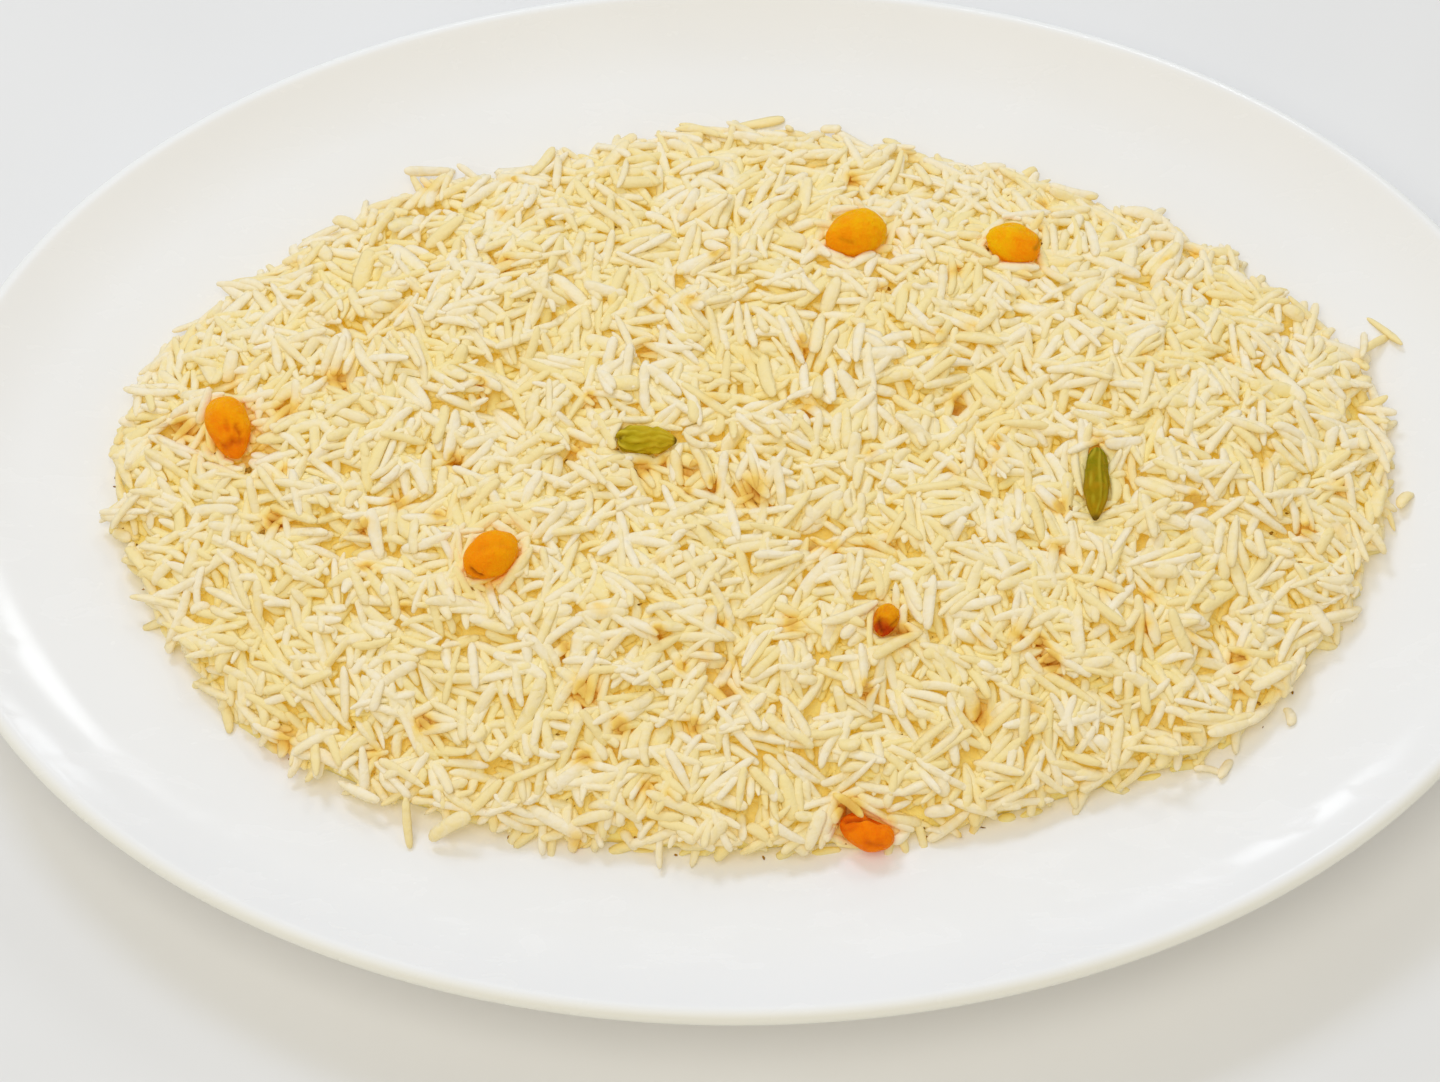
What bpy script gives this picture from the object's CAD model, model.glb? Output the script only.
"""A wide-rimmed oval white platter, spread with boiled long-grain rice. Golden raisins and green
cardamom pods, cooked with the rice, lie on it. Shapes are worked out in millimetres in the
frame's own axes and turned into metres when a mesh is made."""

import math

import bpy
import numpy as np
from mathutils import Matrix, Vector, noise
from mathutils.bvhtree import BVHTree


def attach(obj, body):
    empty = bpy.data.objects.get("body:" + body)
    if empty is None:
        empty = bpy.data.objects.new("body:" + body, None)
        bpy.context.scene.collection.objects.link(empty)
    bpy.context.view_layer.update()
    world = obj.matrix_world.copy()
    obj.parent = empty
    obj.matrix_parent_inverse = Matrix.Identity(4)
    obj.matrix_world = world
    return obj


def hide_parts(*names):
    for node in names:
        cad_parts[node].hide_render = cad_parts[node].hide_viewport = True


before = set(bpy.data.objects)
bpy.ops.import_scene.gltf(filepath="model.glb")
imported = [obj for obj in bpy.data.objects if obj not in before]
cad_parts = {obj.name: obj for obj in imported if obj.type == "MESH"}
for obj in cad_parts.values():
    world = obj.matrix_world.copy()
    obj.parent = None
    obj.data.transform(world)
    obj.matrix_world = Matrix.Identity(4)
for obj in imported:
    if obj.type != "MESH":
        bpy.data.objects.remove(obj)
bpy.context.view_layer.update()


# ----------------------------------------
# The studio: a pale, even table top in a bright, soft room. The camera is a long lens that looks
# down on the near side of the dish. A warm lamp at the left front and a cool one behind light the
# food, and three small panes behind it show in the glaze.
studio = bpy.context.scene
MM = 0.001
LENS_ANGLE = math.radians(60)  # above the table
LENS_DISTANCE = 900 * MM
LENS_AIM = Vector((-4.35, -14.66, 22.0)) * MM
LENS_ROLL = -0.0107  # radians
LENS_SIGHT = 10  # metres
PICTURE_WIDTH = 1440  # pixels
FOCAL_LENGTH_PIXELS = 4792.1
SENSOR_WIDTH = 36  # mm


def add_camera():
    forward = Vector((0, math.cos(LENS_ANGLE), -math.sin(LENS_ANGLE)))
    level = Vector((1, 0, 0))
    upright = level.cross(forward)
    across = math.cos(LENS_ROLL) * level + math.sin(LENS_ROLL) * upright
    up = math.cos(LENS_ROLL) * upright - math.sin(LENS_ROLL) * level
    data = bpy.data.cameras.new("long_lens")
    data.sensor_width = SENSOR_WIDTH
    data.lens = SENSOR_WIDTH * FOCAL_LENGTH_PIXELS / PICTURE_WIDTH
    data.clip_end = LENS_SIGHT
    camera = bpy.data.objects.new("camera", data)
    turned = Matrix((across, up, -forward)).transposed().to_4x4()
    camera.matrix_world = Matrix.Translation(LENS_AIM - forward * LENS_DISTANCE) @ turned
    studio.collection.objects.link(camera)
    bpy.context.scene.camera = camera


def add_softbox(name, bearing, rise, distance, size, brightness, colour, mirrored):
    """A soft lamp that faces the dish. bearing runs to the right from straight behind the dish and
    rise is its height above the table, in degrees. brightness is what its face shows. A lamp that
    isn't mirrored has a polarising sheet, which keeps it out of the glaze."""
    turn, lift = math.radians(bearing), math.radians(rise)
    way = Vector((math.sin(turn) * math.cos(lift), math.cos(turn) * math.cos(lift), math.sin(lift)))
    data = bpy.data.lights.new(name, "AREA")
    data.shape = "RECTANGLE"
    data.size, data.size_y = size
    data.energy = brightness * math.pi * size[0] * size[1]
    data.color = colour
    lamp = bpy.data.objects.new(name, data)
    lamp.location = way * distance
    lamp.rotation_euler = way.to_track_quat("Z", "Y").to_euler()
    lamp.visible_glossy = mirrored
    studio.collection.objects.link(lamp)


def new_material(name, plain_numbers):
    """A material that holds one Principled shader with these plain numbers, and its node tree."""
    material = bpy.data.materials.new(name)
    material.use_nodes = True
    nodes = material.node_tree.nodes
    nodes.clear()
    shader = nodes.new("ShaderNodeBsdfPrincipled")
    output = nodes.new("ShaderNodeOutputMaterial")
    material.node_tree.links.new(shader.outputs["BSDF"], output.inputs["Surface"])
    for socket, number in plain_numbers.items():
        shader.inputs[socket].default_value = number
    return material, material.node_tree, shader


def mix_colours(tree, share, first, second):
    """A colour between first and second, each a socket or an RGB triple. share is a socket."""
    mix = tree.nodes.new("ShaderNodeMix")
    mix.data_type = "RGBA"
    tree.links.new(share, mix.inputs["Factor"])
    ends = [s for s in mix.inputs if s.type == "RGBA"]
    for socket, colour in zip(ends, (first, second)):
        if isinstance(colour, bpy.types.NodeSocket):
            tree.links.new(colour, socket)
        else:
            socket.default_value = (*colour, 1)
    return next(s for s in mix.outputs if s.type == "RGBA")


def calculate(tree, operation, *values, clamp=False):
    """One step of arithmetic on sockets and plain numbers."""
    step = tree.nodes.new("ShaderNodeMath")
    step.operation = operation
    step.use_clamp = clamp
    for socket, value in zip(step.inputs, values):
        if isinstance(value, bpy.types.NodeSocket):
            tree.links.new(value, socket)
        else:
            socket.default_value = value
    return step.outputs[0]


def cloudy_group():
    """Soft blotches of two sizes. Mask runs from 0 to 1, Height is for a Bump node."""
    group = bpy.data.node_groups.new("cloudy_blotches", "ShaderNodeTree")
    interface = group.interface
    for name, start in (("Scale", 100.0), ("Low", 0.35), ("High", 0.65)):
        interface.new_socket(name, in_out="INPUT", socket_type="NodeSocketFloat").default_value = start
    stretch = interface.new_socket("Stretch", in_out="INPUT", socket_type="NodeSocketVector")
    stretch.default_value = (1, 1, 1)
    interface.new_socket("Mask", in_out="OUTPUT", socket_type="NodeSocketFloat")
    interface.new_socket("Height", in_out="OUTPUT", socket_type="NodeSocketFloat")
    nodes, links = group.nodes, group.links
    entry = nodes.new("NodeGroupInput")
    leave = nodes.new("NodeGroupOutput")
    place = nodes.new("ShaderNodeTexCoord")
    drawn = nodes.new("ShaderNodeVectorMath")
    drawn.operation = "MULTIPLY"
    links.new(place.outputs["Object"], drawn.inputs[0])
    links.new(entry.outputs["Stretch"], drawn.inputs[1])
    blotches = nodes.new("ShaderNodeTexNoise")
    blotches.inputs["Detail"].default_value = 3
    blotches.inputs["Roughness"].default_value = 0.55
    blotches.inputs["Distortion"].default_value = 0.4
    links.new(drawn.outputs[0], blotches.inputs["Vector"])
    links.new(entry.outputs["Scale"], blotches.inputs["Scale"])
    spread = nodes.new("ShaderNodeMapRange")
    spread.interpolation_type = "SMOOTHSTEP"
    links.new(blotches.outputs["Fac"], spread.inputs["Value"])
    links.new(entry.outputs["Low"], spread.inputs["From Min"])
    links.new(entry.outputs["High"], spread.inputs["From Max"])
    links.new(spread.outputs["Result"], leave.inputs["Mask"])
    links.new(blotches.outputs["Fac"], leave.inputs["Height"])
    return group


cloudy = cloudy_group()


def blotches(tree, scale, low=0.35, high=0.65, stretch=(1, 1, 1)):
    """The cloudy blotches placed in a material: its Mask and its Height."""
    node = tree.nodes.new("ShaderNodeGroup")
    node.node_tree = cloudy
    node.inputs["Scale"].default_value = scale
    node.inputs["Low"].default_value = low
    node.inputs["High"].default_value = high
    node.inputs["Stretch"].default_value = stretch
    return node.outputs["Mask"], node.outputs["Height"]


def add_bump(tree, shader, height, distance):
    bump = tree.nodes.new("ShaderNodeBump")
    bump.inputs["Distance"].default_value = distance
    tree.links.new(height, bump.inputs["Height"])
    tree.links.new(bump.outputs["Normal"], shader.inputs["Normal"])


TABLE_HALF = 3.0  # metres


def table_material():
    plain = {"Roughness": 0.75, "Specular IOR Level": 0.1}
    material, tree, shader = new_material("pale_table", plain)
    mask, height = blotches(tree, 9.0)
    colour = mix_colours(tree, mask, (0.757, 0.757, 0.757), (0.777, 0.777, 0.777))
    tree.links.new(colour, shader.inputs["Base Color"])
    add_bump(tree, shader, height, 0.1 * MM)
    return material


def add_table():
    ways = ((-1, -1), (1, -1), (1, 1), (-1, 1))
    corners = [(x * TABLE_HALF, y * TABLE_HALF, 0) for x, y in ways]
    mesh = bpy.data.meshes.new("table")
    mesh.from_pydata(corners, [], [(0, 1, 2, 3)])
    mesh.materials.append(table_material())
    table = bpy.data.objects.new("table", mesh)
    studio.collection.objects.link(table)


PRINT_GAMMA = 1.35  # the picture is printed light, with open shadows
ROOM_FRONT = (1.0, 0.86, 0.58)
ROOM_BACK = (0.90, 0.98, 1.10)
ROOM_FADE = 0.7  # how soon the light of the front gives way to that of the back
ROOM_BRIGHTNESS = 0.45
MOST_BOUNCES = 8
EVEN_AFTER = 4  # bounces: then light counts as even, which keeps the hollows of the rice bright
EVEN_REACH = 0.5 * MM
EVEN_BRIGHTNESS = 2.1
# Name, bearing, rise, distance in metres, size in metres, brightness, colour, whether mirrored.
SOFTBOXES = (
    ("high_pane", 15.5, 43.5, 1.7, (0.32, 0.28), 6.5, (0.95, 1.0, 1.06), True),
    ("low_pane_left", 19, 24, 1.8, (0.22, 0.14), 6.0, (0.95, 1.0, 1.06), True),
    ("low_pane_right", -9, 29, 1.8, (0.16, 0.24), 6.0, (0.95, 1.0, 1.06), True),
    ("back_lamp", -26, 50, 1.9, (0.5, 0.4), 12.2, (0.86, 1.0, 1.3), False),
    ("main_lamp", -152, 69, 1.9, (1.2, 1.2), 2.85, (1.0, 0.96, 0.84), False),
)


def add_room_light():
    """Light from the room itself: warm from the front wall and cool from the back."""
    world = bpy.data.worlds.new("bright_room")
    studio.world = world
    world.use_nodes = True
    tree = world.node_tree
    way = tree.nodes.new("ShaderNodeTexCoord")
    parts = tree.nodes.new("ShaderNodeSeparateXYZ")
    tree.links.new(way.outputs["Generated"], parts.inputs[0])
    to_back = calculate(tree, "MULTIPLY_ADD", parts.outputs["Y"], ROOM_FADE, 0.5, clamp=True)
    sky = tree.nodes["Background"]
    tree.links.new(mix_colours(tree, to_back, ROOM_FRONT, ROOM_BACK), sky.inputs["Color"])
    sky.inputs["Strength"].default_value = ROOM_BRIGHTNESS
    world.light_settings.distance = EVEN_REACH
    world.light_settings.ao_factor = EVEN_BRIGHTNESS


studio.view_settings.view_transform = "Standard"
studio.view_settings.gamma = PRINT_GAMMA
studio.cycles.diffuse_bounces = MOST_BOUNCES
studio.cycles.use_fast_gi = True
studio.cycles.fast_gi_method = "REPLACE"
studio.cycles.ao_bounces_render = EVEN_AFTER
add_camera()
add_table()
add_room_light()
for softbox in SOFTBOXES:
    add_softbox(*softbox)


# ----------------------------------------
# The platter: one piece of white glazed china, pressed as an oval and fired. It has a flat
# floor, a well, a wide, gently rising rim, a turned-up lip with a rounded edge, and a foot ring
# whose standing face is left without glaze.
PLATTER_LENGTH = 311
PLATTER_WIDTH = 227.2
PLATTER_HEIGHT = 23.4
FLOOR_HEIGHT = 6
FLOOR_HALF = 53  # half widths are measured along the short axis
FLOOR_TURN = 13  # how far the level of the floor runs on into the curve of the well
RIM_START_HALF = 78
RIM_START_HEIGHT = 15
RIM_TURN = (10, 1.6)  # how far in and down the slope of the rim reaches back into that curve
RIM_END_HALF = 95
RIM_END_HEIGHT = 17.45
WALL = 4.2
LIP_RADIUS = 1.9
LIP_TURN = 118  # degrees round the edge at which the rim's upper face runs into it
LIP_END = -45  # and at which its underside begins
LIP_BEND = ((101, 18.35), (106.3, 20.8))
UNDER_RIM_HALF = 103
UNDER_RIM_HEIGHT = 14.4
UNDER_BEND = 1.4
UNDER_WELL_HALF = RIM_START_HALF + 1
UNDER_WELL_TURN = 7
FOOT_HALF = 63
FOOT_FLAT = 4
FOOT_FLARE = 2.5
FOOT_DEPTH = 1.6
FOOT_ROUNDING = 0.5
LAST_RING_HALF = 0.4  # round the middle of the underside
PLATTER_SIDES = 288
LONG_EXTRA = (PLATTER_LENGTH - PLATTER_WIDTH) / 2


def long_half(half):
    """Half length of the ring with this half width: the floor is stretched, the rim is not."""
    return half + LONG_EXTRA * np.minimum(1, half / FLOOR_HALF)


def bezier(*points, steps):
    """Points on a Bezier curve of any degree, the first point left out."""
    share = np.linspace(0, 1, steps + 1)[1:, None]
    degree = len(points) - 1
    return sum(
        math.comb(degree, k) * (1 - share) ** (degree - k) * share**k * np.array(point, float)
        for k, point in enumerate(points)
    )


def straight(start, end, steps):
    return bezier(start, end, steps=steps)


def arc(centre, radius, start, end, steps):
    turn = np.radians(np.linspace(start, end, steps + 1)[1:, None])
    return np.array(centre) + radius * np.hstack([np.cos(turn), np.sin(turn)])


def upper_face_profile():
    """From the middle of the floor to the start of the lip, as half width and height."""
    floor_end = (FLOOR_HALF, FLOOR_HEIGHT)
    rim_start = (RIM_START_HALF, RIM_START_HEIGHT)
    rim_end = (RIM_END_HALF, RIM_END_HEIGHT)
    turn_in = (FLOOR_HALF + FLOOR_TURN, FLOOR_HEIGHT)
    turn_out = (RIM_START_HALF - RIM_TURN[0], RIM_START_HEIGHT - RIM_TURN[1])
    return np.vstack([
        [(0, FLOOR_HEIGHT)],
        straight((0, FLOOR_HEIGHT), floor_end, 8),
        bezier(floor_end, turn_in, turn_out, rim_start, steps=20),
        straight(rim_start, rim_end, 10),
    ])


def lip_and_underside_profile():
    """From the end of the rim over the lip and back to the middle below."""
    lip = np.array((PLATTER_WIDTH / 2 - LIP_RADIUS, PLATTER_HEIGHT - LIP_RADIUS))
    inner = arc(lip, LIP_RADIUS, 0, LIP_TURN, 1)[0]
    outer = arc(lip, LIP_RADIUS, 0, LIP_END, 1)[0]
    rim_end = (RIM_END_HALF, RIM_END_HEIGHT)
    under_lip = (lip[0] - UNDER_BEND, UNDER_RIM_HEIGHT + WALL / 2)
    under_rim = (UNDER_RIM_HALF, UNDER_RIM_HEIGHT)
    under_well = (UNDER_WELL_HALF, RIM_START_HEIGHT - WALL)
    under_turn = (UNDER_WELL_HALF - UNDER_WELL_TURN, under_well[1] - UNDER_BEND)
    foot_out = FOOT_HALF + FOOT_FLAT / 2
    foot_in = FOOT_HALF - FOOT_FLAT / 2
    flare = (foot_out + FOOT_FLARE, FOOT_DEPTH)
    return np.vstack([
        bezier(rim_end, *LIP_BEND, inner, steps=12),
        arc(lip, LIP_RADIUS, LIP_TURN, LIP_END, 14),
        bezier(outer, under_lip, under_rim, steps=7),
        straight(under_rim, under_well, 6),
        bezier(under_well, under_turn, flare, steps=8),
        straight(flare, (foot_out, FOOT_ROUNDING), 2),
        [(foot_out - FOOT_ROUNDING, 0)],
        [(foot_in + FOOT_ROUNDING, 0)],
        [(foot_in, FOOT_ROUNDING)],
        straight((foot_in, FOOT_ROUNDING), (foot_in - FOOT_DEPTH, FOOT_DEPTH), 2),
        straight((foot_in - FOOT_DEPTH, FOOT_DEPTH), (LAST_RING_HALF, FOOT_DEPTH), 8),
    ])


def make_piece(name, points, faces, materials):
    """A mesh object from points in millimetres. faces is a list or an array of corner numbers."""
    mesh = bpy.data.meshes.new(name)
    corners = np.asarray(faces, np.int32)
    count, sides = corners.shape
    mesh.vertices.add(len(points))
    mesh.vertices.foreach_set("co", (np.asarray(points, np.float32) * MM).ravel())
    mesh.loops.add(count * sides)
    mesh.loops.foreach_set("vertex_index", corners.ravel())
    mesh.polygons.add(count)
    mesh.polygons.foreach_set("loop_start", np.arange(0, count * sides, sides, dtype=np.int32))
    mesh.update(calc_edges=True)
    mesh.validate()
    mesh.polygons.foreach_set("use_smooth", np.full(count, True))
    for material in materials:
        mesh.materials.append(material)
    piece = bpy.data.objects.new(name, mesh)
    studio.collection.objects.link(piece)
    return piece


def add_point_values(piece, name, values):
    layer = piece.data.attributes.new(name, "FLOAT", "POINT")
    layer.data.foreach_set("value", np.asarray(values, np.float32))


def point_values(tree, name):
    """The values that a piece's points carry under this name, as a socket of its material."""
    node = tree.nodes.new("ShaderNodeAttribute")
    node.attribute_name = name
    return node.outputs["Fac"]


def ring_triangles(rings, sides):
    """Triangles of a closed skin: a pole, rings of points, and a second pole, in that order."""
    around = np.arange(sides)
    after = (around + 1) % sides
    start = 1 + sides * np.arange(rings - 1)[:, None]
    here, there = start + around, start + after
    lower = np.stack([here, there, there + sides], axis=-1)
    upper = np.stack([here, there + sides, here + sides], axis=-1)
    last = 1 + sides * (rings - 1)
    first_cap = np.stack([np.zeros(sides, int), 1 + after, 1 + around], axis=-1)
    last_cap = np.stack([np.full(sides, last + sides), last + around, last + after], axis=-1)
    return np.vstack([first_cap, lower.reshape(-1, 3), upper.reshape(-1, 3), last_cap])


def glaze_material():
    """White glaze: faintly cloudy, with a soft orange-peel surface and dull wiped smears."""
    material, tree, shader = new_material("white_glaze", {"IOR": 1.5})
    cloud, swell = blotches(tree, 28.0, 0.3, 0.7)
    tint = mix_colours(tree, cloud, (0.865, 0.86, 0.845), (0.88, 0.875, 0.86))
    tint = mix_colours(tree, point_values(tree, "edge"), tint, (0.90, 0.90, 0.82))
    tree.links.new(tint, shader.inputs["Base Color"])
    smear, _ = blotches(tree, 60.0, 0.5, 0.66, (1.0, 2.4, 1.0))
    fine, _ = blotches(tree, 900.0, 0.4, 0.7)
    dull = calculate(tree, "MULTIPLY_ADD", smear, 0.2, 0.14)
    rough = calculate(tree, "MULTIPLY_ADD", fine, 0.03, dull)
    tree.links.new(rough, shader.inputs["Roughness"])
    add_bump(tree, shader, swell, 0.12 * MM)
    return material


def bare_china_material():
    """The unglazed standing face of the foot ring: fine, matt and slightly grey from use."""
    material, tree, shader = new_material("bare_china", {"Roughness": 0.85})
    scuffs, grain = blotches(tree, 260.0, 0.4, 0.75)
    tint = mix_colours(tree, scuffs, (0.74, 0.71, 0.66), (0.52, 0.49, 0.45))
    tree.links.new(tint, shader.inputs["Base Color"])
    add_bump(tree, shader, grain, 0.1 * MM)
    return material


def add_platter():
    profile = np.vstack([upper_face_profile()[1:], lip_and_underside_profile()])
    turn = np.linspace(0, 2 * math.pi, PLATTER_SIDES, endpoint=False)
    half, height = profile[:, :1], profile[:, 1:]
    x = long_half(half) * np.cos(turn)
    y = half * np.sin(turn)
    rings = np.stack([x, y, np.broadcast_to(height, x.shape)], axis=-1)
    points = np.vstack([[(0, 0, FLOOR_HEIGHT)], rings.reshape(-1, 3), [(0, 0, FOOT_DEPTH)]])
    faces = ring_triangles(len(profile), PLATTER_SIDES)[:, ::-1]
    platter = make_piece("china_platter", points, faces, [glaze_material(), bare_china_material()])
    standing = np.all(points[faces][:, :, 2] < FOOT_ROUNDING / 2, axis=1)
    platter.data.polygons.foreach_set("material_index", standing.astype(np.int32))
    outside = np.clip((half - (PLATTER_WIDTH / 2 - LIP_RADIUS)) / LIP_RADIUS, 0, 1)
    outside = np.broadcast_to(outside, x.shape).ravel()
    add_point_values(platter, "edge", np.concatenate([[0], outside, [0]]))
    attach(platter, "root")
    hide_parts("platter")


add_platter()


# ----------------------------------------
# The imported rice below: boiled rice pressed together under its own weight, golden with butter
# and stock where no light gets in. It is only seen through the gaps of the loose grains on top.
HEAP_LENGTH = 246
HEAP_WIDTH = 160.6
HEAP_CENTRE = (1.4, 0.9)
HEAP_EDGE = 3.4  # height of the step at its outline
HEAP_EDGE_RUN = 3
HEAP_CROWN = 11  # how much higher the middle is than that step
HEAP_SLOPE_RUN = 60
HEAP_FALL = 5  # steepness past the outline
HEAP_RIPPLE = 0.9
SWELL_RUN = 14
HALVINGS = 14  # rounds of closing in on a ring of the platter
# Where the heap spreads past its oval or falls short: bearing, reach in mm, angular spread.
HEAP_BULGES = (
    (-158, -2, 8), (-130, 1.7, 18), (-70, -1.2, 14), (-44, 2.6, 10), (-15, -1.2, 8),
    (14, 3.2, 9), (57, -2.4, 13), (90, 2, 12), (145, -1.2, 8), (163, 1.8, 8),
)
CORE_DEPTH = 3.0  # below the heap's mean surface
CORE_INSET = 4.0  # inside its outline
CORE_RELIEF = 0.5
CORE_LUMPS = 2.6
CORE_LEAST = 0.5  # thickness that is left at its edge
CORE_CLEARANCE = 0.1  # over the platter
CORE_RAYS = 300
CORE_RINGS = 60


def heap_outline(x, y):
    """Distance from the heap's middle to its outline, on the ray through each place."""
    dx, dy = x - HEAP_CENTRE[0], y - HEAP_CENTRE[1]
    away = np.maximum(np.hypot(dx, dy), 0.001)
    share = np.maximum(np.hypot(dx / (HEAP_LENGTH / 2), dy / (HEAP_WIDTH / 2)), 0.00001)
    bearing = np.degrees(np.arctan2(dy / HEAP_WIDTH, dx / HEAP_LENGTH))
    past = 0
    for at, reach, spread in HEAP_BULGES:
        turn = (bearing - at + 180) % 360 - 180
        past = past + reach * np.exp(-((turn / spread) ** 2))
    return away / share + past, away


def inside_heap(x, y):
    edge, away = heap_outline(x, y)
    return edge - away


def heap_top(x, y):
    """Mean surface of the heap: a step at the edge, then a long slope to a nearly flat middle."""
    inside = inside_heap(x, y)
    step = HEAP_EDGE * np.sqrt(np.clip(inside / HEAP_EDGE_RUN, 0, 1))
    slope = 1 - (1 - np.clip(inside / HEAP_SLOPE_RUN, 0, 1)) ** 2
    swells = np.sin(x / SWELL_RUN + 1.2) * np.cos(y / SWELL_RUN - 0.5)
    ripple = swells + 0.6 * np.sin((2 * x - 1.6 * y) / SWELL_RUN)
    heaped = RIM_START_HEIGHT + step + HEAP_CROWN * slope + HEAP_RIPPLE * ripple * slope
    return np.where(inside < 0, RIM_START_HEIGHT + HEAP_FALL * inside, heaped)


def platter_top(x, y):
    """Height of the platter's upper face, from the half width of the ring through each place."""
    profile = upper_face_profile()
    low = np.full(np.shape(x), 0.001)
    high = np.full(np.shape(x), float(RIM_END_HALF))
    for _ in range(HALVINGS):
        half = (low + high) / 2
        within = np.hypot(x / long_half(half), y / half) < 1
        high = np.where(within, half, high)
        low = np.where(within, low, half)
    return np.interp(low, profile[:, 0], profile[:, 1])


def lumps(points, size, seed):
    """Smooth uneven noise from -1 to 1 at each point, with features about size mm across."""
    shift = Vector((seed * 7.31, seed * 3.17, seed * 5.77))
    return np.array([noise.noise(Vector(p) / size + shift) for p in points])


def packed_rice_material():
    """Golden and wet. Where juice has soaked in, it is brown."""
    material, tree, shader = new_material("packed_rice", {"Roughness": 0.5})
    wet, pitted = blotches(tree, 420.0, 0.35, 0.7)
    tint = mix_colours(tree, wet, (0.98, 0.79, 0.19), (0.93, 0.67, 0.11))
    tint = mix_colours(tree, point_values(tree, "stain"), tint, (0.55, 0.19, 0.010))
    tree.links.new(tint, shader.inputs["Base Color"])
    add_bump(tree, shader, pitted, 0.8 * MM)
    return material


def add_packed_rice():
    """A closed skin between the platter and the loose grains. Its stains are added with theirs."""
    turn = np.linspace(0, 2 * math.pi, CORE_RAYS, endpoint=False)
    ray_x, ray_y = np.cos(turn), np.sin(turn)
    edge, _ = heap_outline(HEAP_CENTRE[0] + ray_x, HEAP_CENTRE[1] + ray_y)
    reach = (edge - CORE_INSET) * np.linspace(0, 1, CORE_RINGS + 1)[1:, None]
    x = HEAP_CENTRE[0] + reach * ray_x
    y = HEAP_CENTRE[1] + reach * ray_y
    dish = platter_top(x, y)
    flat = np.stack([x.ravel(), y.ravel(), np.zeros(x.size)], axis=-1)
    relief = CORE_RELIEF * lumps(flat, CORE_LUMPS, 1).reshape(x.shape)
    top = np.maximum(heap_top(x, y) - CORE_DEPTH + relief, dish + CORE_LEAST)
    above = np.stack([x, y, top], axis=-1).reshape(-1, 3)
    below = np.stack([x, y, dish + CORE_CLEARANCE], axis=-1)[::-1].reshape(-1, 3)
    middle_top = float(heap_top(*HEAP_CENTRE)) - CORE_DEPTH
    middle_below = FLOOR_HEIGHT + CORE_CLEARANCE
    ends = np.array([(*HEAP_CENTRE, middle_top), (*HEAP_CENTRE, middle_below)])
    points = np.vstack([ends[:1], above, below, ends[1:]])
    faces = ring_triangles(2 * CORE_RINGS, CORE_RAYS)[:, ::-1]
    core = make_piece("packed_rice", points, faces, [packed_rice_material()])
    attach(core, "root")
    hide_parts("rice")
    return core


packed_rice = add_packed_rice()


# ----------------------------------------
# The raisins: six plump golden raisins, swollen in the cooking until most wrinkles have gone. The
# skin is amber and clear. It blushes to one side, and a few soft folds gather darker juice.
RAISIN_RINGS = 60
RAISIN_SIDES = 80
SWELLING_DEPTH = 0.42
SWELLING_SIZE = 4.0
WRINKLE_DEPTH = 0.22
WRINKLE_SIZE = 1.3
WRINKLE_STRETCH = (0.45, 1, 1)  # they run along the raisin
BLUSH_MIDDLE = 0.35  # how far the blush has come at the middle of the skin
BLUSH_RUN = 0.8
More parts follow.
